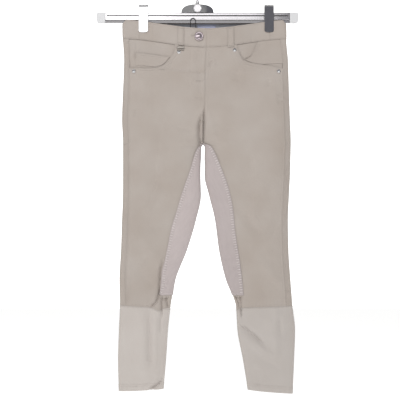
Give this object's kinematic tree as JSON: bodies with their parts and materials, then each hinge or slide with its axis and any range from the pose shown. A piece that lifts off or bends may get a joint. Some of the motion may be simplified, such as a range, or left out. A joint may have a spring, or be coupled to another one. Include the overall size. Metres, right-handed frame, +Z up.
{
  "type": "riding breeches on a clip hanger",
  "caption": "Full-seat riding breeches hanging open and empty from a clip hanger, with a waistband, belt loops, curved pockets, suede seat patches and knitted cuffs.",
  "frame": {"origin": "the inside top of the hanger's hook, where a rail carries it", "axes": "+Z up, along the hanging garment; the front of the breeches faces -Y; +X is the viewer's right from the front"},
  "size_m": [0.464, 0.0535, 0.9647],
  "materials": {
    "stretch_twill": "matte, warm grey",
    "seat_suede": "brushed nap, pale grey",
    "cuff_knit": "fine rib, pale grey",
    "band_lining": "smooth, blue grey",
    "blank_label": "satin, blank",
    "loop_cord": "black",
    "zip_tape": "woven tape",
    "polished_steel": "polished",
    "bright_alloy": "satin",
    "cap_plastic": "pale grey"
  },
  "bodies": {
    "root": {"back_panel_left": "stretch_twill", "back_panel_right": "stretch_twill", "belt_loop_back_left": "stretch_twill", "belt_loop_back_right": "stretch_twill", "belt_loop_front_left": "stretch_twill", "belt_loop_front_right": "stretch_twill", "coin_pocket": "stretch_twill", "cuff_left": "cuff_knit", "cuff_right": "cuff_knit", "fly_underlap": "stretch_twill", "fly_zip": "zip_tape", "front_lower_left": "stretch_twill", "front_lower_right": "stretch_twill", "front_panel_left": "stretch_twill", "front_panel_right": "stretch_twill", "hanger_bar": "bright_alloy", "hanger_cap_left": "cap_plastic", "hanger_cap_right": "cap_plastic", "hanger_clip_left": "polished_steel", "hanger_clip_right": "polished_steel", "hanging_loop": "loop_cord", "hook": "polished_steel", "hook_bracket": "polished_steel", "hook_collar": "polished_steel", "loop_slide": "polished_steel", "pocket_facing_left": "stretch_twill", "pocket_facing_right": "stretch_twill", "pocket_yoke": "stretch_twill", "rivet_left_inner": "polished_steel", "rivet_left_outer": "polished_steel", "rivet_right_inner": "polished_steel", "rivet_right_outer": "polished_steel", "seat_patch_left": "seat_suede", "seat_patch_right": "seat_suede", "waist_button": "polished_steel", "waist_label": "blank_label", "waistband_back": "stretch_twill", "waistband_front_left": "stretch_twill", "waistband_front_right": "stretch_twill", "waistband_lining": "band_lining"}
  },
  "joints": []
}
